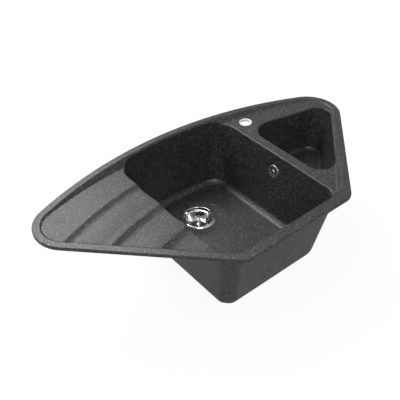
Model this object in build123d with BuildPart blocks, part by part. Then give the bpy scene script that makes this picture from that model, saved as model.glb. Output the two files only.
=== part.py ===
from build123d import *
import os
from math import atan2, cos, degrees, radians, sin, tan

# ---------------------------------------------------------------------------
# Corner sink of moulded composite: one and a half bowls, a drainer on the left.
# Millimetres. +X runs along the front edge to the right, +Y towards the curved
# back, +Z up. The origin lies on the flat underside of the rim, at the middle
# of the front edge, where the sink rests on the worktop.
# ---------------------------------------------------------------------------

# Rim and plan
overall_depth = 565.0  # front edge to the crown of the curved back
front_edge = 385.0  # inner front edge, between its two turns
front_strip = 30.0  # rim width along the front edge
seat_setback = 11.0  # outer front edge to the origin
rim_width = 20.0  # rim width along both wings and the back
rim_thickness = 10.0
rim_top_round = 3.0
rim_under_round = 1.0
rim_inner_round = 2.0
wing_angle = 45.0  # each wing turns back by this from the front edge
back_radius = 1180.0  # outer edge of the curved back
back_centre_x = -47.0
left_tip_radius = 92.0
right_tip_radius = 96.0
front_turn_radius = 45.0
front_turn_least = 2.0  # the turns stay rounded however far the outline is moved in

# Sunk deck and drainer
step_slope = 45.0  # sloping wall between the rim and the sunk deck, from upright
ground_limit = 37.5  # degrees from level: the step is steeper, the troughs' sides are flatter
drainer_step = 17.0  # rim top to the drainer at the main bowl's left edge
deck_step = 15.5  # rim top to the right deck at the main bowl's right edge
deck_fall = 2.5  # degrees, drainer and deck both fall towards the main bowl
deck_wall = 9.0  # thickness of the moulding under the drainer and deck
trough_count = 3
trough_depth = 6.0
trough_width = 92.0
trough_pitch = 111.0
trough_steep_side = 25.0  # how much of the width the steep side takes
trough_edge_round = 12.0
step_foot_round = 5.0
first_trough_inset = 100.0  # rim's inner edge at the back to the first trough

# Main bowl, measured at the level of the rim's top
bowl_wall = 9.0
main_depth = 220.0
main_left_reach = 23.0  # left edge past the front edge's left turn
main_right_reach = 6.5  # right edge short of the front edge's right turn
main_back_inset = 4.0  # from the rim's inner edge
main_front_inset = 3.0  # from the rim's inner edge, at the front and the left turn
main_left_draft = 4.5
main_right_draft = 9.5
main_front_draft = 8.0
main_back_draft = 7.5
main_back_corner = 58.0
main_front_corner = 48.0
main_turn_corner = 22.0
main_floor_round = 24.0
bowl_edge_round = 4.0

# Half bowl, measured at the level of the rim's top
half_depth = 150.0
divider = 27.9  # from the main bowl's right edge to the half bowl's left edge
half_wing_inset = 10.0  # from the rim's inner edge on the right wing
half_back_inset = 70.3  # from the rim's inner edge at the back, along the left wall
half_back_slope = 14.9  # degrees, the back wall runs down to the right
half_back_bow = 5.0
half_draft = 6.0
half_back_corner = 54.0
half_front_corner = 45.0
half_tip_corner = 40.0
half_floor_round = 16.0

# Tap hole
tap_bore = 35.0
tap_chamfer = 2.5
tap_side = 17.1  # from the half bowl's left edge, to the right
tap_back_inset = 45.5  # from the rim's inner edge at the back

# Foam seal in a groove under the rim
seal_inset = 3.0  # from the rim's outer edge
seal_width = 6.0
seal_depth = 2.0

# Basket waste, one in the floor of each bowl
main_waste_side = 191.0  # from the main bowl's left edge
main_waste_back = 153.8  # from the rim's inner edge at the back
half_waste_side = 82.1  # from the half bowl's left edge
waste_hole = 90.0
dish_diameter = 180.0  # the main bowl's floor falls to its waste
dish_depth = 3.0
recess_depth = 2.0  # the flange lies in a recess of the floor
recess_margin = 1.5
boss_margin = 8.0  # thicker ring under the floor, around the hole
boss_depth = 5.0
flange_diameter = 110.0
flange_brim = 3.0  # flat outer part, pressed on the gasket
flange_crown = 2.5  # rise of the raised ring inside the brim
flange_crown_width = 3.0
flange_mouth = 93.0
flange_opening = 85.0  # top of the cup
flange_sheet = 1.2
cup_depth = 30.0
cup_taper = 1.4  # radius lost down the cup
window_outer = 56.0
window_inner = 24.0
window_bar = 4.0
window_bars = 3
gasket_inset = 1.0
upper_gasket_thickness = 1.5
lower_gasket_thickness = 3.0
lower_gasket_width = 10.0

# Plastic body under each bowl
body_flange_thickness = 4.0
body_bore = 96.0
body_wall = 3.0
body_depth = 41.0
outlet_thread = 47.8
outlet_bore = 36.0
outlet_length = 25.0
post_diameter = 14.0
post_rib = 3.0
post_foot = 8.0  # how far the post's ribs reach down the outlet, and up above the floor
post_ribs = 3

# Clamping screw and its threaded insert
screw_diameter = 6.0
screw_head = 12.4
screw_head_height = 3.0
screw_head_round = 1.0
driver_slot_width = 1.6
driver_slot_length = 8.0
driver_slot_depth = 1.6
insert_diameter = 10.0
insert_length = 14.0

# Basket plug
basket_gap = 0.3  # between the seal and the cup's bottom at rest
basket_sheet = 1.0
basket_bend = 2.0
basket_floor = 52.0
basket_shoulder = 76.0
basket_shoulder_drop = 4.5
basket_lip_clearance = 0.7
basket_slots = 18
basket_slot_width = 2.4
basket_slot_margin = 2.0  # from a slot's end to the basket's bends
basket_holes = 8
basket_hole = 4.0
plug_seal_diameter = 66.0
plug_seal_bore = 20.0
plug_seal_thickness = 4.0
knob_foot = 13.0
knob_foot_height = 1.5
knob_stem = 4.0
knob_bead = 7.0
knob_bead_height = 3.5
knob_cap_height = 1.2  # domed top of the bead
knob_height = 19.0
knob_round = 0.5
rivet_diameter = 5.0
rivet_head = 8.0
rivet_head_height = 0.4

# Overflow in the wall between the bowls
overflow_depth = 70.5  # under the rim's top, in the middle of the main bowl's right wall
overflow_bore = 24.0
rosette_diameter = 40.0
rosette_thickness = 2.4
rosette_ring = 5.0
rosette_hub = 12.0
rosette_bar = 2.2
rosette_bars = 3
rosette_edge_round = 1.2
overflow_gasket_thickness = 2.0
overflow_screw = 5.0
overflow_screw_head = 8.6
overflow_screw_head_height = 1.8
overflow_screw_round = 0.9
overflow_slot_width = 0.8
overflow_slot_depth = 0.9
overflow_screw_reach = 11.0  # into the housing's post
housing_flange = 37.0
housing_flange_thickness = 2.5
housing_bore = 25.0
housing_wall = 2.5
housing_depth = 19.0
housing_post = 10.0

# Rigid pipe from the overflow to the main bowl's waste
pipe_side = 10.0  # from the main bowl's right edge
pipe_diameter = 20.0
pipe_wall = 1.5
pipe_bend = 40.0
pipe_insertion = 18.0
spigot_diameter = 26.0
spigot_drop = 36.0  # from the middle of the overflow to the spigot's end
inlet_depth = 31.0  # under the bowl's underside
inlet_reach = 30.0  # from the body's wall to the spigot's end
nut_diameter = 33.0
nut_length = 20.0
nut_lip = 3.0
nut_grips = 12
nut_grip = 2.4
pipe_seal_length = 4.0
pipe_seal_edge = 1.0  # straight part of the cone's rim

running_gap = 0.05  # radial gap of a piece in its seat
pipe_gap = 0.2  # radial gap around the pipe and under the nuts

far = 2000.0  # longer than any part of the sink
ground_depth = 400.0  # deeper than the bowls


def slope_per_mm(angle):
    """Sideways step of a sloping wall for each millimetre of height."""
    return tan(radians(angle))


# The rim's inner edge is the line that the bowls, deck and drainer are set from.
inner_front = front_strip - seat_setback
back_centre_y = overall_depth - seat_setback - back_radius
inner_back_radius = back_radius - rim_width
main_left = -front_edge / 2 - main_left_reach
main_right = front_edge / 2 - main_right_reach
half_left = main_right + divider


def inner_back(x, inset):
    """Y of the rim's inner edge at the back, moved into the sink by inset."""
    return back_centre_y + (inner_back_radius**2 - (x - back_centre_x) ** 2) ** 0.5 - inset


def crossing(point_a, angle_a, point_b, angle_b):
    """The point where two lines cross, each given by a point and its angle from +X."""
    ax, ay = point_a
    bx, by = point_b
    ux, uy = cos(radians(angle_a)), sin(radians(angle_a))
    vx, vy = cos(radians(angle_b)), sin(radians(angle_b))
    along = ((bx - ax) * vy - (by - ay) * vx) / (ux * vy - uy * vx)
    return (ax + along * ux, ay + along * uy)


def right_wing_point(inset):
    """A point of the right wing's inner edge, moved into the sink by inset."""
    x = front_edge / 2 - inset * sin(radians(wing_angle))
    return (x, inner_front + inset * cos(radians(wing_angle)))


def left_wing_point(inset):
    """A point of the left wing's inner edge, moved into the sink by inset."""
    x = -front_edge / 2 + inset * sin(radians(wing_angle))
    return (x, inner_front + inset * cos(radians(wing_angle)))


def along_line(point, angle, distance):
    """The point a distance along a line from a point."""
    return (point[0] + distance * cos(radians(angle)), point[1] + distance * sin(radians(angle)))


def half_section(x, y, z):
    """The upright plane through a standing axis at (x, y); its origin lies at height z."""
    return Plane((x, y, z), x_dir=(1, 0, 0), z_dir=(0, -1, 0))


def turned(place, *points):
    """A solid turned about the Y axis of a plane, from (radius, height) points."""
    with BuildPart() as solid:
        with BuildSketch(place):
            with BuildLine():
                Polyline(*points, close=True)
            make_face()
        revolve(axis=Axis(place.origin, place.y_dir))
    return solid.part


def ring(place, inner, outer, low, high):
    """A ring with square edges about the Y axis of a plane."""
    return turned(place, (inner, low), (outer, low), (outer, high), (inner, high))


def disc(place, radius, low, high):
    """A round plate about the Y axis of a plane."""
    return turned(place, (0, low), (radius, low), (radius, high), (0, high))


def finish(piece, name):
    """Label a finished piece and write it out."""
    piece.label = name
    export_step(piece, f"parts/{name}.step")


def rim_outline(height, inset, front_inset):
    """The sink's outline at a height, moved in from the rim's inner edge."""
    front = (0, inner_front + front_inset)
    left = crossing(left_wing_point(inset), 180 - wing_angle, front, 0)
    right = crossing(right_wing_point(inset), wing_angle, front, 0)
    with BuildSketch(Plane.XY.offset(height)) as outline:
        with Locations((back_centre_x, back_centre_y)):
            Circle(inner_back_radius - inset)
        with BuildLine():
            Polyline(
                left,
                right,
                along_line(right, wing_angle, far),
                along_line(left, 180 - wing_angle, far),
                close=True,
            )
        make_face(mode=Mode.INTERSECT)
        fillet(outline.vertices().sort_by(Axis.X)[0], left_tip_radius - rim_width - inset)
        fillet(outline.vertices().sort_by(Axis.X)[-1], right_tip_radius - rim_width - inset)
        turn = max(front_turn_radius - rim_width - inset, front_turn_least)
        fillet(outline.vertices().sort_by(Axis.Y)[:2], turn)
    return outline.sketch


def drainer_ground(drop):
    """Everything under the drainer's surface: its troughs are arcs about the back's centre."""
    below_rim = drainer_step + (back_centre_x - main_left) * slope_per_mm(deck_fall)
    centre = Vector(back_centre_x, back_centre_y, rim_thickness - below_rim - drop)
    upright = Vector(sin(radians(deck_fall)), 0, cos(radians(deck_fall)))
    outer_end = inner_back_radius + rim_width
    upright_plane = Plane(centre, x_dir=(0, 1, 0), z_dir=Vector(0, 1, 0).cross(upright))
    with BuildPart() as ground:
        with BuildSketch(upright_plane) as section:
            with BuildLine():
                here = (outer_end, 0)
                for number in range(trough_count):
                    steep_edge = inner_back_radius - first_trough_inset - number * trough_pitch
                    bottom = (steep_edge - trough_steep_side, -trough_depth)
                    Line(here, (steep_edge, 0))
                    here = (steep_edge - trough_width, 0)
                    TangentArc(bottom, (steep_edge, 0), tangent=(1, 0))
                    TangentArc(bottom, here, tangent=(-1, 0))
                Polyline(here, (0, 0), (0, -ground_depth), (outer_end, -ground_depth), (outer_end, 0))
            make_face()
            edges_of_troughs = section.vertices().filter_by_position(Axis.Y, -0.01, 0.01)
            fillet(edges_of_troughs.sort_by(Axis.X)[1:-1], trough_edge_round)
        revolve(axis=Axis(centre, upright))
    return ground.part


def deck_ground(drop):
    """Everything under the right deck, which falls towards the main bowl."""
    at_edge = Vector(main_right, 0, rim_thickness - deck_step - drop)
    along = Vector(cos(radians(deck_fall)), 0, sin(radians(deck_fall)))
    with BuildPart() as ground:
        with BuildSketch(Plane(at_edge, x_dir=along, z_dir=along.cross(Vector(0, 1, 0)))):
            Rectangle(far, far)
        extrude(amount=-ground_depth)
    return ground.part


def sunk_part(outset, drop):
    """The space over the drainer and deck, made larger by outset and deeper by drop."""
    reach = drainer_step + trough_depth + drop
    foot = reach * slope_per_mm(step_slope) - outset
    with BuildPart() as space:
        top = rim_outline(rim_thickness, -outset, -outset)
        bottom = rim_outline(rim_thickness - reach, foot, foot)
        loft([top.face(), bottom.face()], ruled=True)
        add(drainer_ground(drop), mode=Mode.SUBTRACT)
        add(deck_ground(drop), mode=Mode.SUBTRACT)
        below_rim = space.faces().sort_by(Axis.Z)[:-1]
        ground = below_rim.filter_by(lambda face: abs(face.normal_at().Z) > cos(radians(ground_limit)))
        sloping = below_rim - ground
        fillet(ground.edges() & sloping.edges(), step_foot_round)
    return space.part


def main_outline(depth, wall):
    """The main bowl's outline at a depth under the rim's top, with a wall around it."""
    left = main_left - wall + depth * slope_per_mm(main_left_draft)
    right = main_right + wall - depth * slope_per_mm(main_right_draft)
    inwards = main_front_inset + depth * slope_per_mm(main_front_draft) - wall
    front = (0, inner_front + inwards)
    turn_low = crossing(left_wing_point(inwards), 180 - wing_angle, front, 0)
    turn_high = crossing(left_wing_point(inwards), 180 - wing_angle, (left, 0), 90)
    with BuildSketch(Plane.XY.offset(rim_thickness - depth)) as outline:
        with Locations((back_centre_x, back_centre_y)):
            Circle(inner_back_radius - main_back_inset + wall - depth * slope_per_mm(main_back_draft))
        with BuildLine():
            Polyline(turn_high, turn_low, (right, front[1]), (right, far), (left, far), close=True)
        make_face(mode=Mode.INTERSECT)
        fillet(outline.vertices().sort_by(Axis.Y)[-2:], main_back_corner + wall)
        fillet(outline.vertices().group_by(Axis.X)[0].sort_by(Axis.Y)[0], main_turn_corner + wall)
        fillet(outline.vertices().group_by(Axis.Y)[0].sort_by(Axis.X)[0], main_turn_corner + wall)
        fillet(outline.vertices().group_by(Axis.Y)[0].sort_by(Axis.X)[-1], main_front_corner + wall)
    return outline.sketch


def main_space(wall):
    """The main bowl's inside, or its outside where a wall is given."""
    depth = main_depth + wall
    with BuildPart() as space:
        loft([main_outline(0, wall).face(), main_outline(depth, wall).face()], ruled=True)
        fillet(space.faces().sort_by(Axis.Z)[0].edges(), main_floor_round + wall)
    return space.part


def half_outline(depth, wall):
    """The half bowl's outline at a depth under the rim's top, with a wall around it."""
    inwards = depth * slope_per_mm(half_draft) - wall
    left = half_left + inwards
    wing = right_wing_point(half_wing_inset + inwards)
    back_drop = inwards / cos(radians(half_back_slope))
    back = (half_left, inner_back(half_left, half_back_inset) - back_drop)
    front_corner = crossing((left, 0), 90, wing, wing_angle)
    back_corner = crossing((left, 0), 90, back, -half_back_slope)
    tip = crossing(back, -half_back_slope, wing, wing_angle)
    with BuildSketch(Plane.XY.offset(rim_thickness - depth)) as outline:
        with BuildLine():
            Polyline(back_corner, front_corner, tip)
            SagittaArc(tip, back_corner, half_back_bow)
        make_face()
        fillet(outline.vertices().sort_by(Axis.Y)[0], half_front_corner + wall)
        fillet(outline.vertices().sort_by(Axis.X)[-1], half_tip_corner + wall)
        fillet(outline.vertices().sort_by(Axis.Y)[-1], half_back_corner + wall)
    return outline.sketch


def half_space(wall):
    """The half bowl's inside, or its outside where a wall is given."""
    depth = half_depth + wall
    with BuildPart() as space:
        loft([half_outline(0, wall).face(), half_outline(depth, wall).face()], ruled=True)
        fillet(space.faces().sort_by(Axis.Z)[0].edges(), half_floor_round + wall)
    return space.part


os.makedirs("parts", exist_ok=True)


# --- the moulded sink -------------------------------------------------------

step_outset = deck_wall / cos(radians(step_slope))
main_floor = rim_thickness - main_depth
half_floor = rim_thickness - half_depth
main_seat = main_floor - dish_depth - recess_depth  # where the flange's gasket lies
half_seat = half_floor - recess_depth
main_underside = main_floor - bowl_wall - boss_depth
half_underside = half_floor - bowl_wall - boss_depth
recess_radius = flange_diameter / 2 + recess_margin
boss_radius = recess_radius + boss_margin
boss_height = boss_depth + bowl_wall / 2  # its upper half of the wall's thickness merges with the floor

main_waste_x = main_left + main_waste_side
main_waste_y = inner_back(main_waste_x, main_waste_back)

# The half bowl's waste lies midway between its back wall and its wall along the wing.
half_waste_x = half_left + half_waste_side
half_tip = crossing(
    (half_left, inner_back(half_left, half_back_inset)),
    -half_back_slope,
    right_wing_point(half_wing_inset),
    wing_angle,
)
half_waste_y = crossing((half_waste_x, 0), 90, half_tip, (wing_angle - half_back_slope) / 2)[1]

tap_x = half_left + tap_side
tap_y = inner_back(tap_x, tap_back_inset)

# The main bowl's right wall leans, so the overflow's axis does too.
overflow_x = main_right - overflow_depth * slope_per_mm(main_right_draft)
overflow_y = (inner_front + main_front_inset + inner_back(main_right, main_back_inset)) / 2
overflow_centre = Vector(overflow_x, overflow_y, rim_thickness - overflow_depth)
lean = radians(main_right_draft)
into_bowl = Vector(-cos(lean), 0, sin(lean))
overflow_section = Plane(overflow_centre, x_dir=(0, 1, 0), z_dir=Vector(0, 1, 0).cross(into_bowl))
overflow_face = Plane(overflow_centre, x_dir=(0, 1, 0), z_dir=into_bowl)
wall_through = bowl_wall * cos(lean)
pipe_x = main_right + pipe_side

with BuildPart() as rim_plate:
    extrude(rim_outline(0, -rim_width, -front_strip), amount=rim_thickness)
    fillet(rim_plate.edges().group_by(Axis.Z)[-1], rim_top_round)
    fillet(rim_plate.edges().group_by(Axis.Z)[0], rim_under_round)

with BuildPart() as hollow:
    add(sunk_part(0, 0))
    add(main_space(0))
    fillet(hollow.edges(Select.NEW), bowl_edge_round)
    add(half_space(0))
    fillet(hollow.edges(Select.NEW), bowl_edge_round)

with BuildPart() as seal_groove:
    outer_shift = seal_inset - rim_width
    outer_front_shift = seal_inset - front_strip
    extrude(rim_outline(0, outer_shift, outer_front_shift), amount=seal_depth)
    inner = rim_outline(0, outer_shift + seal_width, outer_front_shift + seal_width)
    extrude(inner, amount=seal_depth, mode=Mode.SUBTRACT)

with BuildPart() as sink_body:
    add(rim_plate.part)
    add(sunk_part(step_outset, deck_wall))
    add(main_space(bowl_wall))
    add(half_space(bowl_wall))
    add(disc(half_section(main_waste_x, main_waste_y, main_underside), boss_radius, 0, boss_height))
    add(disc(half_section(half_waste_x, half_waste_y, half_underside), boss_radius, 0, boss_height))
    add(hollow.part, mode=Mode.SUBTRACT)
    rim_top = sink_body.faces().filter_by(Axis.Z).sort_by(Axis.Z)[-1]
    fillet(rim_top.inner_wires()[0].edges(), rim_inner_round)

    # the dished floor, the flanges' recesses and the waste holes
    main_axis = half_section(main_waste_x, main_waste_y, main_floor)
    add(
        turned(
            main_axis,
            (0, bowl_wall),
            (dish_diameter / 2, bowl_wall),
            (dish_diameter / 2, 0),
            (recess_radius, -dish_depth),
            (recess_radius, -dish_depth - recess_depth),
            (0, -dish_depth - recess_depth),
        ),
        mode=Mode.SUBTRACT,
    )
    half_axis = half_section(half_waste_x, half_waste_y, half_floor)
    add(disc(half_axis, recess_radius, -recess_depth, bowl_wall), mode=Mode.SUBTRACT)
    with Locations((main_waste_x, main_waste_y, main_floor), (half_waste_x, half_waste_y, half_floor)):
        Hole(waste_hole / 2)

    # the tap hole, the overflow's hole and the seal's groove
    with BuildSketch(Plane.XY.offset(rim_thickness)):
        with Locations((tap_x, tap_y)):
            Circle(tap_bore / 2)
    extrude(amount=-rim_thickness - deck_step - deck_wall, mode=Mode.SUBTRACT)
    chamfer(sink_body.edges(Select.NEW).sort_by(Axis.Z)[-1], tap_chamfer)
    add(disc(overflow_section, overflow_bore / 2, -2 * bowl_wall, bowl_wall), mode=Mode.SUBTRACT)
    add(seal_groove.part, mode=Mode.SUBTRACT)
finish(sink_body.part, "sink_body")

with BuildPart() as rim_seal:
    outer_shift = seal_inset - rim_width + running_gap
    outer_front_shift = seal_inset - front_strip + running_gap
    strip = seal_width - 2 * running_gap
    extrude(rim_outline(0, outer_shift, outer_front_shift), amount=seal_depth)
    inner = rim_outline(0, outer_shift + strip, outer_front_shift + strip)
    extrude(inner, amount=seal_depth, mode=Mode.SUBTRACT)
finish(rim_seal.part, "rim_seal")


# --- a basket waste ---------------------------------------------------------


def inlet_section(x, y, z, angle, end):
    """The plane of the inlet's section: its origin at the spigot's end, Y along its axis."""
    outwards = Vector(cos(radians(angle)), sin(radians(angle)), 0)
    return Plane(Vector(x, y, z) + outwards * end, x_dir=(0, 0, 1), z_dir=Vector(0, 0, 1).cross(outwards))


def make_waste(name, x, y, seat, underside, inlet_angle=None):
    """All pieces of one waste; inlet_angle turns the overflow's inlet, where it has one."""
    place = half_section(x, y, seat)
    cup_floor = -cup_depth
    cup_radius = flange_opening / 2
    sheet_middle = flange_sheet / 2
    brim_middle = upper_gasket_thickness + sheet_middle

    with BuildPart() as flange:
        with BuildSketch(place):
            with BuildLine():
                FilletPolyline(
                    (0, cup_floor - sheet_middle),
                    (cup_radius - cup_taper + sheet_middle, cup_floor - sheet_middle),
                    (cup_radius + sheet_middle, -flange_sheet),
                    (flange_mouth / 2, brim_middle + flange_crown),
                    (flange_mouth / 2 + flange_crown_width, brim_middle + flange_crown),
                    (flange_diameter / 2 - flange_brim, brim_middle),
                    (flange_diameter / 2, brim_middle),
                    radius=flange_sheet,
                )
            trace(line_width=flange_sheet)
        revolve(axis=Axis(place.origin, place.y_dir))
        with BuildSketch(Plane((x, y, seat + cup_floor))):
            Circle(window_outer / 2)
            Circle(window_inner / 2, mode=Mode.SUBTRACT)
            for bar in range(window_bars):
                turn = 180 / window_bars * bar
                Rectangle(window_outer + window_bar, window_bar, rotation=turn, mode=Mode.SUBTRACT)
        extrude(amount=-2 * flange_sheet, mode=Mode.SUBTRACT)
        with Locations((x, y, seat + cup_floor)):
            Hole(screw_diameter / 2 + running_gap)
    finish(flange.part, f"{name}_strainer_flange")

    finish(
        ring(
            place,
            waste_hole / 2 + gasket_inset,
            flange_diameter / 2 - gasket_inset,
            0,
            upper_gasket_thickness,
        ),
        f"{name}_flange_gasket",
    )
    below = half_section(x, y, underside)
    gasket_inner = waste_hole / 2 + gasket_inset
    finish(
        ring(below, gasket_inner, gasket_inner + lower_gasket_width, -lower_gasket_thickness, 0),
        f"{name}_body_gasket",
    )

    # the plastic body hangs from the clamping screw, its flange against the lower gasket
    top = underside - lower_gasket_thickness - seat
    floor = top - body_depth
    outlet_end = floor - body_wall - outlet_length
    post_top = cup_floor - flange_sheet
    post_foot_level = floor - body_wall - post_foot
    with BuildPart() as body:
        outer = body_bore / 2 + body_wall
        add(
            turned(
                place,
                (body_bore / 2, top),
                (gasket_inner + lower_gasket_width + gasket_inset, top),
                (gasket_inner + lower_gasket_width + gasket_inset, top - body_flange_thickness),
                (outer, top - body_flange_thickness),
                (outer, floor - body_wall),
                (outlet_thread / 2, floor - body_wall),
                (outlet_thread / 2, outlet_end),
                (outlet_bore / 2, outlet_end),
                (outlet_bore / 2, floor),
                (body_bore / 2, floor),
            )
        )
        add(disc(place, post_diameter / 2, post_foot_level, post_top))
        for rib in range(post_ribs):
            turn = 360 / post_ribs * rib
            reach = outlet_bore / 2 + body_wall
            with BuildSketch(Plane((x, y, seat + post_foot_level))):
                with Locations(Location((0, 0, 0), (0, 0, turn))):
                    with Locations((reach / 2, 0)):
                        Rectangle(reach, post_rib)
            extrude(amount=floor - post_foot_level + post_foot)
        add(disc(place, insert_diameter / 2, post_top - insert_length, post_top), mode=Mode.SUBTRACT)
        if inlet_angle is not None:
            spigot_end = outer + inlet_reach
            inlet = inlet_section(x, y, underside - inlet_depth, inlet_angle, spigot_end)
            add(disc(inlet, spigot_diameter / 2, -inlet_reach - body_wall / 2, 0))
            bore = pipe_diameter / 2 + pipe_gap
            add(disc(inlet, bore, -inlet_reach - 2 * body_wall, 0), mode=Mode.SUBTRACT)
    finish(body.part, f"{name}_waste_body")

    insert_radius = insert_diameter / 2 - running_gap
    screw_radius = screw_diameter / 2
    finish(
        ring(place, screw_radius + running_gap, insert_radius, post_top - insert_length, post_top),
        f"{name}_screw_insert",
    )
    with BuildPart() as screw:
        add(disc(place, screw_radius, post_top - insert_length, cup_floor))
        add(disc(place, screw_head / 2, cup_floor, cup_floor + screw_head_height))
        fillet(screw.edges().group_by(Axis.Z)[-1], screw_head_round)
        with BuildSketch(Plane((x, y, seat + cup_floor + screw_head_height))):
            Rectangle(driver_slot_length, driver_slot_width)
            Rectangle(driver_slot_width, driver_slot_length)
        extrude(amount=-driver_slot_depth, mode=Mode.SUBTRACT)
    finish(screw.part, f"{name}_waste_screw")

    # the basket plug closes the windows with its seal and lifts straight out
    seal_low = cup_floor + basket_gap
    seal_high = seal_low + plug_seal_thickness
    finish(
        ring(place, plug_seal_bore / 2, plug_seal_diameter / 2, seal_low, seal_high),
        f"{name}_basket_seal",
    )
    basket_middle = seal_high + basket_sheet / 2
    lip = cup_radius - basket_lip_clearance
    with BuildPart() as basket:
        with BuildSketch(place):
            with BuildLine():
                FilletPolyline(
                    (0, basket_middle),
                    (basket_floor / 2, basket_middle),
                    (basket_shoulder / 2, -basket_shoulder_drop),
                    (lip, -basket_shoulder_drop + basket_sheet),
                    radius=basket_bend,
                )
            trace(line_width=basket_sheet)
        revolve(axis=Axis(place.origin, place.y_dir))
        slot_middle = (basket_floor + basket_shoulder) / 4
        slot_length = (basket_shoulder - basket_floor) / 2 - 2 * basket_slot_margin
        with BuildSketch(Plane((x, y, seat))):
            with PolarLocations(slot_middle, basket_slots):
                SlotOverall(slot_length, basket_slot_width)
            with PolarLocations((basket_floor + knob_foot) / 4, basket_holes):
                Circle(basket_hole / 2)
        extrude(amount=-cup_depth, mode=Mode.SUBTRACT)
        with Locations((x, y, seat)):
            Hole(rivet_diameter / 2 + running_gap)
    finish(basket.part, f"{name}_basket")

    knob_low = seal_high + basket_sheet
    knob_top = knob_low + knob_height
    stem = knob_stem / 2
    with BuildPart() as knob:
        add(disc(place, rivet_head / 2, seal_high - rivet_head_height, seal_high))
        add(disc(place, rivet_diameter / 2, seal_high - rivet_head_height, knob_low))
        with BuildSketch(place):
            with BuildLine():
                FilletPolyline(
                    (0, knob_low),
                    (knob_foot / 2, knob_low),
                    (knob_foot / 2, knob_low + knob_foot_height),
                    (stem, knob_low + 2 * knob_foot_height),
                    (stem, knob_top - knob_bead_height),
                    (knob_bead / 2, knob_top - knob_bead_height),
                    (knob_bead / 2, knob_top - knob_cap_height),
                    (0, knob_top),
                    radius=knob_round,
                )
                Line((0, knob_top), (0, knob_low))
            make_face()
        revolve(axis=Axis(place.origin, place.y_dir))
    finish(knob.part, f"{name}_basket_knob")


pipe_run = Vector(pipe_x - main_waste_x, overflow_y - main_waste_y, 0)
inlet_angle = degrees(atan2(pipe_run.Y, pipe_run.X))
make_waste("main", main_waste_x, main_waste_y, main_seat, main_underside, inlet_angle)
make_waste("half", half_waste_x, half_waste_y, half_seat, half_underside)


# --- the overflow -----------------------------------------------------------

gasket_low = -wall_through - overflow_gasket_thickness
housing_floor = gasket_low - housing_flange_thickness - housing_depth
pipe_seat = pipe_diameter / 2 + pipe_gap
screw_hole = overflow_screw / 2 + running_gap

with BuildPart() as rosette:
    with BuildSketch(overflow_face):
        Circle(rosette_diameter / 2)
        Circle(rosette_diameter / 2 - rosette_ring, mode=Mode.SUBTRACT)
        for bar in range(rosette_bars):
            Rectangle(rosette_diameter - rosette_ring, rosette_bar, rotation=180 / rosette_bars * bar)
        Circle(rosette_hub / 2)
        Circle(screw_hole, mode=Mode.SUBTRACT)
    extrude(amount=rosette_thickness)
    outer_edge = rosette.edges().filter_by(GeomType.CIRCLE).group_by(SortBy.RADIUS)[-1]
    fillet(outer_edge.sort_by(Axis(overflow_centre, into_bowl))[-1], rosette_edge_round)
finish(rosette.part, "overflow_rosette")

finish(
    ring(overflow_section, overflow_bore / 2, housing_flange / 2, gasket_low, -wall_through),
    "overflow_gasket",
)

with BuildPart() as grille_screw:
    screw_top = rosette_thickness + overflow_screw_head_height
    add(disc(overflow_section, overflow_screw_head / 2, rosette_thickness, screw_top))
    head_rim = grille_screw.edges().filter_by(GeomType.CIRCLE).sort_by(Axis(overflow_centre, into_bowl))[-1]
    fillet(head_rim, overflow_screw_round)
    post_end = gasket_low - housing_flange_thickness
    screw_end = post_end - overflow_screw_reach
    add(disc(overflow_section, overflow_screw / 2, screw_end, rosette_thickness))
    with BuildSketch(overflow_face.offset(screw_top)):
        Rectangle(overflow_screw, overflow_slot_width)
    extrude(amount=-overflow_slot_depth, mode=Mode.SUBTRACT)
finish(grille_screw.part, "overflow_screw")

spigot_end_height = overflow_centre.Z - spigot_drop
spigot_section = Plane((pipe_x, overflow_y, spigot_end_height), x_dir=(1, 0, 0), z_dir=(0, 1, 0))
with BuildPart() as housing:
    add(disc(overflow_section, housing_flange / 2, post_end, gasket_low))
    housing_back = housing_floor - housing_wall
    add(disc(overflow_section, housing_bore / 2 + housing_wall, housing_back, gasket_low))
    spigot_reach = spigot_drop - housing_bore / 4  # its top opens into the housing's lower half
    add(disc(spigot_section, spigot_diameter / 2, -spigot_reach, 0))
    add(disc(overflow_section, housing_flange / 2, gasket_low, 0), mode=Mode.SUBTRACT)
    add(disc(overflow_section, housing_bore / 2, housing_floor, gasket_low), mode=Mode.SUBTRACT)
    add(disc(spigot_section, pipe_seat, -spigot_reach, 0), mode=Mode.SUBTRACT)
    add(disc(overflow_section, housing_post / 2, housing_floor, post_end))
    add(disc(overflow_section, screw_hole, screw_end, post_end), mode=Mode.SUBTRACT)
finish(housing.part, "overflow_housing")

# The pipe runs straight down between the bowls and turns under the main bowl.
body_outside = body_bore / 2 + body_wall
inlet_height = main_underside - inlet_depth
inlet_end = inlet_section(main_waste_x, main_waste_y, inlet_height, inlet_angle, body_outside + inlet_reach)
run_out = pipe_run.normalized()
pipe_top = Vector(pipe_x, overflow_y, spigot_end_height + pipe_insertion)
pipe_corner = Vector(pipe_x, overflow_y, inlet_height)
pipe_end = inlet_end.origin - run_out * pipe_insertion
with BuildPart() as pipe:
    with BuildLine():
        FilletPolyline(pipe_top, pipe_corner, pipe_end, radius=pipe_bend)
    with BuildSketch(Plane(pipe_top, x_dir=(1, 0, 0), z_dir=(0, 0, -1))):
        Circle(pipe_diameter / 2)
        Circle(pipe_diameter / 2 - pipe_wall, mode=Mode.SUBTRACT)
    sweep()
finish(pipe.part, "overflow_pipe")


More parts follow.
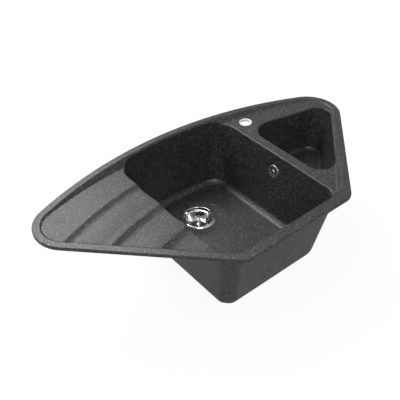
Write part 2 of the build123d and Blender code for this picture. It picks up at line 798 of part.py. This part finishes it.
def make_pipe_joint(end, name):
    """The nut and cone seal on a spigot's end; end is the plane of the spigot's section."""
    lip_low = pipe_seal_length + running_gap
    lip_end = lip_low + nut_lip
    grip_start = lip_end - nut_length
    with BuildPart() as nut:
        add(
            turned(
                end,
                (spigot_diameter / 2 + running_gap, grip_start),
                (nut_diameter / 2, grip_start),
                (nut_diameter / 2, lip_end),
                (pipe_seat, lip_end),
                (pipe_seat, lip_low),
                (spigot_diameter / 2 + running_gap, lip_low),
            )
        )
        with BuildSketch(Plane(end.origin, x_dir=end.x_dir, z_dir=end.y_dir).offset(lip_end)):
            with PolarLocations(nut_diameter / 2, nut_grips):
                Circle(nut_grip / 2)
        extrude(amount=-nut_length, mode=Mode.SUBTRACT)
    finish(nut.part, f"pipe_nut_{name}")
    finish(
        turned(
            end,
            (pipe_diameter / 2 + running_gap, 0),
            (spigot_diameter / 2, 0),
            (spigot_diameter / 2, pipe_seal_edge),
            (pipe_seat + pipe_seal_edge, pipe_seal_length),
            (pipe_diameter / 2 + running_gap, pipe_seal_length),
        ),
        f"pipe_seal_{name}",
    )


make_pipe_joint(spigot_section, "upper")
make_pipe_joint(inlet_end, "lower")
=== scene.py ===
"""Looks of the corner kitchen sink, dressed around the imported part.

The moulded sink, its two basket wastes, the overflow between the bowls and the
rigid overflow pipe each have a class. Lengths are in metres, in the part's frame.
"""

from __future__ import annotations

import logging
import math
from dataclasses import dataclass
from enum import Enum
from typing import Any, Sequence, Union

import bmesh
import bpy
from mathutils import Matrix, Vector


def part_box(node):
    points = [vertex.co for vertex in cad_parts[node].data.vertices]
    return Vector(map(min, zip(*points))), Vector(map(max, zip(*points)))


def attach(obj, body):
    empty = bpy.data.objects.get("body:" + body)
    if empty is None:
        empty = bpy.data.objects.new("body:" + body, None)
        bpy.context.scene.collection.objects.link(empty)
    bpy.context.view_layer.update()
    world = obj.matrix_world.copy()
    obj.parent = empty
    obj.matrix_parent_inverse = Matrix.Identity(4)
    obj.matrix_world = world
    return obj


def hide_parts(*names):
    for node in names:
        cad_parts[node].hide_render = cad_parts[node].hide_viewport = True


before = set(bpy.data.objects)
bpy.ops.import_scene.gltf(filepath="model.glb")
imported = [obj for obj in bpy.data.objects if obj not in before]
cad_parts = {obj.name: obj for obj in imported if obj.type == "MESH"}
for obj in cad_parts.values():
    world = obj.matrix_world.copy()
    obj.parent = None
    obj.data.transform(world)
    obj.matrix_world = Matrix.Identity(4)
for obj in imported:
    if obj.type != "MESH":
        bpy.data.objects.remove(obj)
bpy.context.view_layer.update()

LOG = logging.getLogger("corner_sink")
MM = 0.001
NOISE_MIDDLE = 0.5
WELD_REACH = 0.002 * MM
SLIVER_WIDTH = 0.001 * MM
FLAT_FACE_WEIGHT = 90


class Slot(Enum):
    """The finishes of the sink's pieces, by their slot names."""

    GRANITE = "granite_composite"
    STEEL = "polished_steel"
    PLASTIC = "white_plastic"
    RUBBER = "black_rubber"
    BRASS = "brass"
    FOAM = "seal_foam"


class Body(Enum):
    """The bodies that pieces ride on."""

    SINK = "sink"
    MAIN_BASKET = "main_basket"
    HALF_BASKET = "half_basket"


# --- shader graphs ----------------------------------------------------------


@dataclass(frozen=True)
class Signal:
    """A node's output that Python's operators work on, adding Math nodes."""

    graph: "Graph"
    socket: bpy.types.NodeSocket

    def _math(self, operation: str, first: "Feed", second: "Feed") -> "Signal":
        """One Math node on two feeds."""
        return self.graph.node("ShaderNodeMath", {"operation": operation}, {0: first, 1: second})

    def __add__(self, other: "Feed") -> "Signal":
        """self + other"""
        return self._math("ADD", self, other)

    __radd__ = __add__

    def __sub__(self, other: "Feed") -> "Signal":
        """self - other"""
        return self._math("SUBTRACT", self, other)

    def __rsub__(self, other: "Feed") -> "Signal":
        """other - self"""
        return self._math("SUBTRACT", other, self)

    def __mul__(self, other: "Feed") -> "Signal":
        """self * other"""
        return self._math("MULTIPLY", self, other)

    __rmul__ = __mul__

    def __gt__(self, other: "Feed") -> "Signal":
        """1 where self is larger than other, otherwise 0"""
        return self._math("GREATER_THAN", self, other)


Feed = Union[Signal, float, Sequence[float]]


class Graph:
    """The node tree of one material, written as expressions."""

    def __init__(self, name: str) -> None:
        """Start an empty material with a Principled surface.

        Args:
            name: the material's name.
        """
        self.material = bpy.data.materials.new(name)
        self.material.use_nodes = True
        self._start(self.material.node_tree, "ShaderNodeOutputMaterial")
        self.surface = self.tree.nodes.new("ShaderNodeBsdfPrincipled")
        self.tree.links.new(self.surface.outputs[0], self.surface_input)

    @classmethod
    def of_world(cls, world: bpy.types.World) -> "Graph":
        """The empty graph of a world.

        Args:
            world: the world, with its nodes in use.

        Returns:
            The graph.
        """
        graph = cls.__new__(cls)
        graph._start(world.node_tree, "ShaderNodeOutputWorld")
        return graph

    def _start(self, tree: bpy.types.NodeTree, output: str) -> None:
        """Clear a tree and give it its output node."""
        self.tree = tree
        self.tree.nodes.clear()
        self.surface_input = self.tree.nodes.new(output).inputs["Surface"]

    def node(
        self,
        kind: str,
        settings: dict[str, Any] | None = None,
        inputs: dict[Any, Feed] | None = None,
        output: Any = 0,
    ) -> Signal:
        """Add any node.

        Args:
            kind: the node's type, such as ShaderNodeTexNoise.
            settings: values set on the node itself.
            inputs: values or signals, by socket name or number.
            output: the name or number of the output to return.

        Returns:
            The chosen output.
        """
        made = self.tree.nodes.new(kind)
        for key, value in (settings or {}).items():
            setattr(made, key, value)
        for key, value in (inputs or {}).items():
            self.feed(made.inputs[key], value)
        return Signal(self, made.outputs[output])

    def feed(self, socket: bpy.types.NodeSocket, value: Feed) -> None:
        """Link a signal to a socket, or set a constant on it."""
        if isinstance(value, Signal):
            self.tree.links.new(value.socket, socket)
        else:
            socket.default_value = value

    def blend(self, share: Feed, first: Feed, second: Feed) -> Signal:
        """A colour between two colours.

        Args:
            share: 0 for the first colour, 1 for the second.
            first: a colour with four values, or a signal.
            second: a colour with four values, or a signal.

        Returns:
            The mixed colour.
        """
        # A Mix node keeps its colours in inputs 6 and 7 and its colour result in output 2.
        inputs = {0: share, 6: first, 7: second}
        return self.node("ShaderNodeMix", {"data_type": "RGBA"}, inputs, 2)

    def place(self) -> Signal:
        """Object coordinates, in metres of the part's frame."""
        return self.node("ShaderNodeTexCoord", output="Object")

    def noise(self, size: float, detail: float = 2.0) -> Signal:
        """Soft noise around 0.5.

        Args:
            size: the size of its lumps, in metres.
            detail: how many finer layers it has.

        Returns:
            The noise's level.
        """
        inputs = {"Vector": self.place(), "Scale": 1 / size, "Detail": detail}
        return self.node("ShaderNodeTexNoise", None, inputs, "Fac")

    def bump(self, height: Feed, depth: float, strength: float = 0.5) -> Signal:
        """Relief of a surface.

        Args:
            height: the relief, from 0 to about 1.
            depth: the depth of 1, in metres.
            strength: how much of it shows.

        Returns:
            The bent normal.
        """
        return self.node(
            "ShaderNodeBump", None, {"Height": height, "Strength": strength, "Distance": depth}
        )

    def mix_surface(self, share: Feed, other: Signal) -> None:
        """Mix another shader over the Principled surface.

        Args:
            share: 0 for the Principled surface, 1 for the other.
            other: the other shader's output.
        """
        mix = self.node("ShaderNodeMixShader", None, {0: share, 2: other})
        self.tree.links.new(self.surface.outputs[0], mix.socket.node.inputs[1])
        self.tree.links.new(mix.socket, self.surface_input)

    def finish(self, **sockets: Feed) -> bpy.types.Material:
        """Feed the Principled surface.

        Args:
            **sockets: socket names with underscores for spaces.

        Returns:
            The finished material.
        """
        for name, value in sockets.items():
            self.feed(self.surface.inputs[name.replace("_", " ")], value)
        return self.material


def grey(level: float, warmth: float = 0.0) -> tuple[float, float, float, float]:
    """A grey with a little warmth, as four values.

    Args:
        level: linear brightness.
        warmth: share that red gains and blue loses.

    Returns:
        Red, green, blue and alpha.
    """
    return (level * (1 + warmth), level, level * (1 - warmth), 1.0)


def lifted(level: Signal, least: float) -> Signal:
    """A level from 0 to 1, squeezed so that it starts at a least value.

    Args:
        level: the level.
        least: what 0 becomes; 1 stays 1.

    Returns:
        The squeezed level.
    """
    return least + (1 - least) * level


# --- finishes ---------------------------------------------------------------


@dataclass(frozen=True)
class GraniteFinish:
    """Black composite: pale and grey grains in satin resin, painted light on the tap hole's wall.
    """

    body: float = 0.007
    body_darkest: float = 0.8
    body_palest: float = 1.25
    body_warmth: float = 0.02
    pale_grain: float = 0.15
    pale_warmth: float = 0.03
    pale_size: float = 1.9 * MM
    pale_share: float = 0.15
    pale_dimmest: float = 0.25
    grey_grain: float = 0.045
    grey_warmth: float = 0.02
    grey_size: float = 1.0 * MM
    grey_share: float = 0.35
    grey_dimmest: float = 0.3
    cloud_size: float = 110 * MM
    cloud_detail: float = 3.0
    grit_size: float = 1.1 * MM
    roughness: float = 0.36
    cloud_roughness: float = 0.1
    grit_roughness: float = 0.12
    pale_polish: float = 0.08
    dimple: float = 0.28 * MM
    grain_relief: float = 0.5
    tap_hole: tuple[float, float] = (0.231, 0.4547)
    drilled_radius: float = 20.3 * MM
    # painted light: the pale grey of the tap hole's wall stands in for light falling on it
    painted_hole_light_grey: float = 0.75
    drilled_roughness: float = 0.3

    def _grains(self, g: Graph, size: float, share: float) -> tuple[Signal, Signal]:
        """Cells of one size, of which a share are grains.

        Args:
            g: the graph.
            size: the cells' size.
            share: how many of the cells are grains.

        Returns:
            1 on the grains, and a random level of each cell.
        """
        inputs = {"Vector": g.place(), "Scale": 1 / size}
        cells = g.node("ShaderNodeTexVoronoi", {"feature": "F1"}, inputs, "Color")
        pick = g.node("ShaderNodeSeparateColor", None, {0: cells}, 0)
        level = g.node("ShaderNodeSeparateColor", None, {0: cells}, 1)
        return pick > 1 - share, level

    def _painted_hole_light(self, g: Graph) -> Signal:
        """1 on the wall of the tap hole, where light is painted in a pale grey, otherwise 0."""
        centre = (*self.tap_hole, 0.0)
        away = g.node("ShaderNodeVectorMath", {"operation": "SUBTRACT"}, {0: g.place(), 1: centre})
        flat = g.node("ShaderNodeVectorMath", {"operation": "MULTIPLY"}, {0: away, 1: (1, 1, 0)})
        radius = g.node("ShaderNodeVectorMath", {"operation": "LENGTH"}, {0: flat}, "Value")
        return 1 - (radius > self.drilled_radius)

    def material(self) -> bpy.types.Material:
        """Build the material.

        Returns:
            The granite composite.
        """
        g = Graph(Slot.GRANITE.value)
        pale, pale_level = self._grains(g, self.pale_size, self.pale_share)
        grain, grain_level = self._grains(g, self.grey_size, self.grey_share)
        cloud = g.noise(self.cloud_size, self.cloud_detail)
        grit = g.noise(self.grit_size)
        painted_hole_light = self._painted_hole_light(g)
        darkest = grey(self.body * self.body_darkest)
        palest = grey(self.body * self.body_palest, self.body_warmth)
        base = g.blend(cloud, darkest, palest)
        shown = grain * lifted(grain_level, self.grey_dimmest)
        base = g.blend(shown, base, grey(self.grey_grain, self.grey_warmth))
        shown = pale * lifted(pale_level, self.pale_dimmest)
        base = g.blend(shown, base, grey(self.pale_grain, self.pale_warmth))
        # painted light: the tap hole's wall gets a pale grey that stands in for light falling on it
        base = g.blend(painted_hole_light, base, grey(self.painted_hole_light_grey))
        rough = self.roughness + self.cloud_roughness * (cloud - NOISE_MIDDLE)
        rough = rough + self.grit_roughness * (grit - NOISE_MIDDLE)
        rough = rough - self.pale_polish * pale + self.drilled_roughness * painted_hole_light
        relief = g.bump(grit + self.grain_relief * grain_level, self.dimple)
        return g.finish(Base_Color=base, Roughness=rough, Normal=relief)


@dataclass(frozen=True)
class SteelFinish:
    """Stainless steel with faint water marks and polishing lines."""

    name: str = Slot.STEEL.value
    level: float = 0.74
    warmth: float = 0.01
    roughness: float = 0.09
    mark_size: float = 7 * MM
    mark_detail: float = 4.0
    mark_shade: float = 0.92
    mark_roughness: float = 0.08
    line_size: float = 0.4 * MM
    line_roughness: float = 0.04

    def material(self) -> bpy.types.Material:
        """Build the material.

        Returns:
            The steel.
        """
        g = Graph(self.name)
        mark = g.noise(self.mark_size, self.mark_detail)
        line = g.noise(self.line_size)
        tone = g.blend(mark, grey(self.level * self.mark_shade), grey(self.level, self.warmth))
        rough = self.roughness + self.mark_roughness * (mark - NOISE_MIDDLE)
        rough = rough + self.line_roughness * (line - NOISE_MIDDLE)
        return g.finish(Base_Color=tone, Metallic=1.0, Roughness=rough)


@dataclass(frozen=True)
class PlainFinish:
    """Plastic, rubber, foam or brass with a fine texture over its colour."""

    slot: Slot
    colour: tuple[float, float, float, float]
    roughness: float
    metallic: float = 0.0
    cloud_size: float = 28 * MM
    cloud_detail: float = 3.0
    cloud_shade: float = 0.88
    cloud_roughness: float = 0.12
    pore_size: float = 0.8 * MM
    pore_depth: float = 0.03 * MM
    pore_strength: float = 0.4

    def material(self) -> bpy.types.Material:
        """Build the material.

        Returns:
            The finish.
        """
        g = Graph(self.slot.value)
        cloud = g.noise(self.cloud_size, self.cloud_detail)
        pores = g.noise(self.pore_size)
        darker = tuple(self.cloud_shade * level for level in self.colour[:3]) + (1.0,)
        tone = g.blend(cloud, darker, self.colour)
        rough = self.roughness + self.cloud_roughness * (cloud - NOISE_MIDDLE)
        relief = g.bump(pores, self.pore_depth, self.pore_strength)
        return g.finish(Base_Color=tone, Metallic=self.metallic, Roughness=rough, Normal=relief)


class Finishes:
    """Every material of the sink, by its slot."""

    def __init__(self) -> None:
        """Build all the materials once."""
        self.brushed_steel = SteelFinish(name="brushed_steel", roughness=0.34).material()
        self.by_slot: dict[Slot, bpy.types.Material] = {
            Slot.GRANITE: GraniteFinish().material(),
            Slot.STEEL: SteelFinish().material(),
            Slot.PLASTIC: PlainFinish(
                Slot.PLASTIC, colour=grey(0.72, warmth=0.015), roughness=0.42
            ).material(),
            Slot.RUBBER: PlainFinish(Slot.RUBBER, colour=grey(0.022), roughness=0.7).material(),
            Slot.BRASS: PlainFinish(
                Slot.BRASS, colour=(0.72, 0.5, 0.2, 1.0), roughness=0.3, metallic=1.0
            ).material(),
            Slot.FOAM: PlainFinish(
                Slot.FOAM,
                colour=grey(0.035),
                roughness=0.9,
                pore_size=1.2 * MM,
                pore_depth=0.3 * MM,
            ).material(),
        }


# --- geometry nodes ---------------------------------------------------------


class Recipe:
    """A Geometry Nodes tree with named inputs, built node by node and baked into a mesh."""

    def __init__(self, name: str) -> None:
        """Start a tree that takes a mesh and returns one.

        Args:
            name: the tree's name.
        """
        self.tree = bpy.data.node_groups.new(name, "GeometryNodeTree")
        self.entry = self.tree.nodes.new("NodeGroupInput")
        self.identifiers: dict[str, str] = {}
        self.mesh = self.ask("Mesh", "NodeSocketGeometry")

    def ask(self, name: str, kind: str = "NodeSocketFloat") -> bpy.types.NodeSocket:
        """Add a named input.

        Args:
            name: the input's name.
            kind: the input's socket type.

        Returns:
            The socket that gives its value.
        """
        item = self.tree.interface.new_socket(name, in_out="INPUT", socket_type=kind)
        self.identifiers[name] = item.identifier
        return self.entry.outputs[name]

    def node(
        self,
        kind: str,
        settings: dict[str, Any] | None = None,
        inputs: dict[Any, Any] | None = None,
        output: Any = 0,
    ) -> bpy.types.NodeSocket:
        """Add any node.

        Args:
            kind: the node's type.
            settings: values set on the node itself.
            inputs: values, or sockets to link, by socket name or number.
            output: the name or number of the output to return.

        Returns:
            The chosen output.
        """
        made = self.tree.nodes.new(kind)
        for key, value in (settings or {}).items():
            setattr(made, key, value)
        for key, value in (inputs or {}).items():
            for source in value if isinstance(value, tuple) else (value,):
                if isinstance(source, bpy.types.NodeSocket):
                    self.tree.links.new(source, made.inputs[key])
                else:
                    made.inputs[key].default_value = source
        return made.outputs[output]

    def end(self, made: bpy.types.NodeSocket) -> None:
        """Realize, give the material and end the tree.

        Args:
            made: the finished geometry.
        """
        material = self.ask("Material", "NodeSocketMaterial")
        real = self.node("GeometryNodeRealizeInstances", None, {0: made})
        inputs = {"Geometry": real, "Material": material}
        dressed = self.node("GeometryNodeSetMaterial", None, inputs)
        self.tree.interface.new_socket("Mesh", in_out="OUTPUT", socket_type="NodeSocketGeometry")
        self.tree.links.new(dressed, self.tree.nodes.new("NodeGroupOutput").inputs[0])

    def bake(self, piece: bpy.types.Object, **values: Any) -> None:
        """Run the tree on a piece and keep the result as its mesh.

        Args:
            piece: the piece, whose mesh goes in and is replaced.
            **values: the named inputs' values.
        """
        modifier = piece.modifiers.new(self.tree.name, "NODES")
        modifier.node_group = self.tree
        for name, value in values.items():
            modifier[self.identifiers[name]] = value
        keep_evaluated(piece, modifier)


def keep_evaluated(piece: bpy.types.Object, modifier: bpy.types.Modifier) -> None:
    """Turn a modifier's result into the piece's own mesh and remove the modifier.

    Args:
        piece: the piece.
        modifier: its only modifier.
    """
    evaluated = piece.evaluated_get(bpy.context.evaluated_depsgraph_get())
    mesh = bpy.data.meshes.new_from_object(evaluated)
    piece.modifiers.remove(modifier)
    piece.data = mesh


class ThreadRecipe(Recipe):
    """A helical ridge with thinning ends, joined to the mesh that it stands on."""

    STEPS_PER_TURN = 40
    SECTION_SIDES = 12

    def __init__(self) -> None:
        """Build the tree."""
        super().__init__("pipe_thread")
        radius = self.ask("Radius")
        turns = self.ask("Turns")
        height = self.ask("Height")
        ridge = self.ask("Ridge")
        thinning = self.ask("Thinning")
        place = self.ask("Place", "NodeSocketVector")
        inputs = {
            "Resolution": self.STEPS_PER_TURN,
            "Rotations": turns,
            "Start Radius": radius,
            "End Radius": radius,
            "Height": height,
        }
        helix = self.node("GeometryNodeCurveSpiral", None, inputs)
        along = self.node("GeometryNodeSplineParameter")
        back = self.node("ShaderNodeMath", {"operation": "SUBTRACT"}, {0: 1.0, 1: along})
        near = self.node("ShaderNodeMath", {"operation": "MINIMUM"}, {0: along, 1: back})
        grown = self.node("ShaderNodeMath", {"operation": "MULTIPLY"}, {0: near, 1: thinning})
        share = self.node("ShaderNodeMath", {"operation": "MINIMUM"}, {0: grown, 1: 1.0})
        sized = self.node("GeometryNodeSetCurveRadius", None, {"Curve": helix, "Radius": share})
        inputs = {"Resolution": self.SECTION_SIDES, "Radius": ridge}
        section = self.node("GeometryNodeCurvePrimitiveCircle", None, inputs)
        inputs = {"Curve": sized, "Profile Curve": section, "Fill Caps": True}
        thread = self.node("GeometryNodeCurveToMesh", None, inputs)
        placed = self.node("GeometryNodeTransform", None, {0: thread, "Translation": place})
        self.end(self.node("GeometryNodeJoinGeometry", None, {0: (self.mesh, placed)}))


# --- pieces -----------------------------------------------------------------


def welded_copy(node: str) -> bpy.types.Object:
    """A copy of a CAD node's mesh with its triangles joined.

    Args:
        node: the CAD node.

    Returns:
        The copy, as a piece named after the node.
    """
    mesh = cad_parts[node].data.copy()
    cage = bmesh.new()
    cage.from_mesh(mesh)
    bmesh.ops.remove_doubles(cage, verts=cage.verts, dist=WELD_REACH)
    bmesh.ops.dissolve_degenerate(cage, edges=cage.edges, dist=SLIVER_WIDTH)
    cage.to_mesh(mesh)
    cage.free()
    piece = bpy.data.objects.new(f"{node}_look", mesh)
    bpy.context.scene.collection.objects.link(piece)
    return piece


def shade(piece: bpy.types.Object, angle: float) -> None:
    """Shade a piece smooth, with sharp edges and steady flats.

    Args:
        piece: the piece.
        angle: edges sharper than this, in degrees, stay sharp.
    """
    cage = bmesh.new()
    cage.from_mesh(piece.data)
    for face in cage.faces:
        face.smooth = True
    for edge in cage.edges:
        edge.smooth = edge.calc_face_angle(0.0) < math.radians(angle)
    cage.to_mesh(piece.data)
    cage.free()
    weighting = piece.modifiers.new("steady_flats", "WEIGHTED_NORMAL")
    weighting.keep_sharp = True
    weighting.weight = FLAT_FACE_WEIGHT
    keep_evaluated(piece, weighting)


@dataclass
class SubAssembly:
    """What every sub-assembly of the sink shares."""

    finishes: Finishes
    smooth_angle: float = 32.0

    def dress(
        self, piece: bpy.types.Object, node: str, body: Body, slot: Slot, brushed: bool = False
    ) -> None:
        """Shade a piece and let it stand for its CAD node.

        Args:
            piece: the piece, already in its place.
            node: the CAD node that it replaces.
            body: the body that it rides on.
            slot: its finish.
            brushed: whether its steel is brushed instead of polished.
        """
        shade(piece, self.smooth_angle)
        piece.data.name = piece.name
        piece.data.materials.clear()
        finish = self.finishes.brushed_steel if brushed else self.finishes.by_slot[slot]
        piece.data.materials.append(finish)
        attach(piece, body.value)
        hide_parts(node)
        faces = len(piece.data.polygons)
        LOG.info("%s: %s on %s, %d faces", piece.name, slot.value, body.value, faces)

    def copy(
        self, node: str, slot: Slot, body: Body = Body.SINK, brushed: bool = False
    ) -> None:
        """Dress a welded copy of a CAD node.

        Args:
            node: the CAD node.
            slot: its finish.
            body: the body that it rides on.
            brushed: whether its steel is brushed instead of polished.
        """
        self.dress(welded_copy(node), node, body, slot, brushed)


@dataclass
class MouldedSink(SubAssembly):
    """The one-piece sink and the foam strip under its rim."""

    def build(self) -> None:
        """Dress the moulding and the strip."""
        self.copy("sink_body", Slot.GRANITE)
        self.copy("rim_seal", Slot.FOAM)


@dataclass
class BasketWaste(SubAssembly):
    """One waste: strainer flange, gaskets, threaded body, screw and lift-out basket."""

    name: str = "main"
    basket_body: Body = Body.MAIN_BASKET
    outlet_radius: float = 23.9 * MM
    outlet_length: float = 25 * MM
    root_radius: float = 22.9 * MM
    ridge_radius: float = 0.75 * MM
    pitch: float = 2.309 * MM
    turns: float = 8.0
    thread_start: float = 2.5 * MM
    thinning: float = 14.0
    tolerance: float = 0.1 * MM

    def build(self, thread: ThreadRecipe) -> None:
        """Dress all the waste's pieces.

        Args:
            thread: the outlet's thread.
        """
        self.copy(f"{self.name}_strainer_flange", Slot.STEEL)
        self.copy(f"{self.name}_flange_gasket", Slot.RUBBER)
        self.copy(f"{self.name}_body_gasket", Slot.RUBBER)
        self._threaded_body(thread)
        self.copy(f"{self.name}_waste_screw", Slot.STEEL)
        self.copy(f"{self.name}_screw_insert", Slot.BRASS)
        self.copy(f"{self.name}_basket", Slot.STEEL, self.basket_body)
        self.copy(f"{self.name}_basket_seal", Slot.RUBBER, self.basket_body)
        self.copy(f"{self.name}_basket_knob", Slot.STEEL, self.basket_body)

    def _threaded_body(self, thread: ThreadRecipe) -> None:
        """The plastic body, its outlet cut down to the thread's root with the ridge on it."""
        node = f"{self.name}_waste_body"
        low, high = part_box(f"{self.name}_strainer_flange")
        axis = (low + high) / 2
        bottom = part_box(node)[0].z
        piece = welded_copy(node)
        for vertex in piece.data.vertices:
            away = Vector((vertex.co.x - axis.x, vertex.co.y - axis.y))
            at_outlet = vertex.co.z < bottom + self.outlet_length + self.tolerance
            if at_outlet and abs(away.length - self.outlet_radius) < self.tolerance:
                away *= self.root_radius / away.length
                vertex.co.x = axis.x + away.x
                vertex.co.y = axis.y + away.y
        thread.bake(
            piece,
            Radius=self.outlet_radius - self.ridge_radius,
            Turns=self.turns,
            Height=self.turns * self.pitch,
            Ridge=self.ridge_radius,
            Thinning=self.thinning,
            Place=(axis.x, axis.y, bottom + self.thread_start),
            Material=self.finishes.by_slot[Slot.PLASTIC],
        )
        self.dress(piece, node, Body.SINK, Slot.PLASTIC)


@dataclass
class Overflow(SubAssembly):
    """The round grille on the bowl's wall and the elbow behind it."""

    def build(self) -> None:
        """Dress the grille, its screw, the gasket and the elbow."""
        self.copy("overflow_rosette", Slot.STEEL, brushed=True)
        self.copy("overflow_screw", Slot.STEEL)
        self.copy("overflow_gasket", Slot.RUBBER)
        self.copy("overflow_housing", Slot.PLASTIC)


@dataclass
class OverflowPipe(SubAssembly):
    """The rigid pipe from the elbow to the main waste, with a nut and a seal at each end."""

    ends: tuple[str, ...] = ("upper", "lower")

    def build(self) -> None:
        """Dress the pipe and its two joints."""
        self.copy("overflow_pipe", Slot.PLASTIC)
        for end in self.ends:
            self.copy(f"pipe_nut_{end}", Slot.PLASTIC)
            self.copy(f"pipe_seal_{end}", Slot.RUBBER)


# --- studio -----------------------------------------------------------------


@dataclass(frozen=True)
class SoftLight:
    """One rectangular soft light."""

    name: str
    place: tuple[float, float, float]
    aim: tuple[float, float, float]
    width: float
    height: float
    radiance: float

    def build(self) -> None:
        """Hang the light and turn it to its aim."""
        data = bpy.data.lights.new(self.name, "AREA")
        data.shape = "RECTANGLE"
        data.size = self.width
        data.size_y = self.height
        data.energy = self.radiance * math.pi * self.width * self.height
        light = bpy.data.objects.new(self.name, data)
        light.location = self.place
        towards = Vector(self.aim) - Vector(self.place)
        light.rotation_euler = towards.to_track_quat("-Z", "Y").to_euler()
        bpy.context.scene.collection.objects.link(light)


@dataclass
class Studio:
    """White surroundings, soft lights and the photograph's camera."""

    camera_place: tuple[float, float, float] = (-0.9518, -0.7494, 1.0842)
    pitch: float = 40.0
    yaw: float = 39.58
    lens: float = 56.28
    sensor_width: float = 36.0
    nearest_seen: float = 0.01
    floor_height: float = -0.2975
    floor_size: float = 30.0
    floor_roughness: float = 0.9
    floor_white: float = 0.5
    floor_glow: float = 1.15
    glow_share: float = 0.8
    reflected_share: float = 0.3
    world_white: float = 1.0
    world_light: float = 0.42
    lights: tuple[SoftLight, ...] = (
        SoftLight(
            "back_light",
            place=(0.0, 1.95, 2.1),
            aim=(-0.3, 0.2, 0.0),
            width=1.6,
            height=1.5,
            radiance=7.5,
        ),
        SoftLight(
            "left_light",
            place=(-1.75, 1.45, 1.25),
            aim=(0.1, 0.25, -0.1),
            width=1.0,
            height=0.8,
            radiance=4.5,
        ),
        SoftLight(
            "fill_light",
            place=(-1.1, -1.7, 2.0),
            aim=(0.1, 0.4, -0.1),
            width=1.3,
            height=1.3,
            radiance=6.0,
        ),
    )

    def build(self) -> None:
        """Add the camera, the lights, the floor and the world."""
        self._camera()
        for light in self.lights:
            light.build()
        self._floor()
        self._world()
        bpy.context.scene.view_settings.view_transform = "Standard"

    def _camera(self) -> None:
        """The photograph's camera."""
        data = bpy.data.cameras.new("camera")
        data.lens = self.lens
        data.sensor_width = self.sensor_width
        data.clip_start = self.nearest_seen
        camera = bpy.data.objects.new("camera", data)
        camera.location = self.camera_place
        camera.rotation_euler = (math.radians(90 - self.pitch), 0, math.radians(-self.yaw))
        bpy.context.scene.collection.objects.link(camera)
        bpy.context.scene.camera = camera

    def _floor(self) -> None:
        """A plain white floor that keeps a faint shadow."""
        place = (0, 0, self.floor_height)
        bpy.ops.mesh.primitive_plane_add(size=self.floor_size, location=place)
        floor = bpy.context.object
        floor.name = "floor"
        g = Graph("floor_white")
        g.finish(Base_Color=grey(self.floor_white), Roughness=self.floor_roughness)
        inputs = {"Color": grey(1.0), "Strength": self.floor_glow}
        glow = g.node("ShaderNodeEmission", None, inputs)
        g.mix_surface(self._seen(g) * self.glow_share, glow)
        floor.data.materials.append(g.material)

    def _world(self) -> None:
        """White where it is seen, less so where it is reflected, dimmer as light."""
        world = bpy.data.worlds.new("studio")
        bpy.context.scene.world = world
        world.use_nodes = True
        g = Graph.of_world(world)
        white = grey(1.0)
        light = g.node("ShaderNodeBackground", None, {"Color": white, "Strength": self.world_light})
        seen = g.node("ShaderNodeBackground", None, {"Color": white, "Strength": self.world_white})
        mixed = g.node("ShaderNodeMixShader", None, {0: self._seen(g), 1: light, 2: seen})
        g.feed(g.surface_input, mixed)

    def _seen(self, g: Graph) -> Signal:
        """1 for what the camera sees and what shines through, less for reflections."""
        seen = g.node("ShaderNodeLightPath", output="Is Camera Ray")
        path = seen.socket.node.outputs
        reflected = Signal(g, path["Is Glossy Ray"]) * self.reflected_share
        return seen + Signal(g, path["Is Transmission Ray"]) + reflected


def main() -> None:
    """Build the studio and every sub-assembly of the sink."""
    logging.basicConfig(level=logging.INFO, format="%(name)s: %(message)s")
    Studio().build()
    finishes = Finishes()
    thread = ThreadRecipe()
    MouldedSink(finishes).build()
    BasketWaste(finishes, name="main", basket_body=Body.MAIN_BASKET).build(thread)
    BasketWaste(finishes, name="half", basket_body=Body.HALF_BASKET).build(thread)
    Overflow(finishes).build()
    OverflowPipe(finishes).build()


if __name__ == "__main__":
    main()
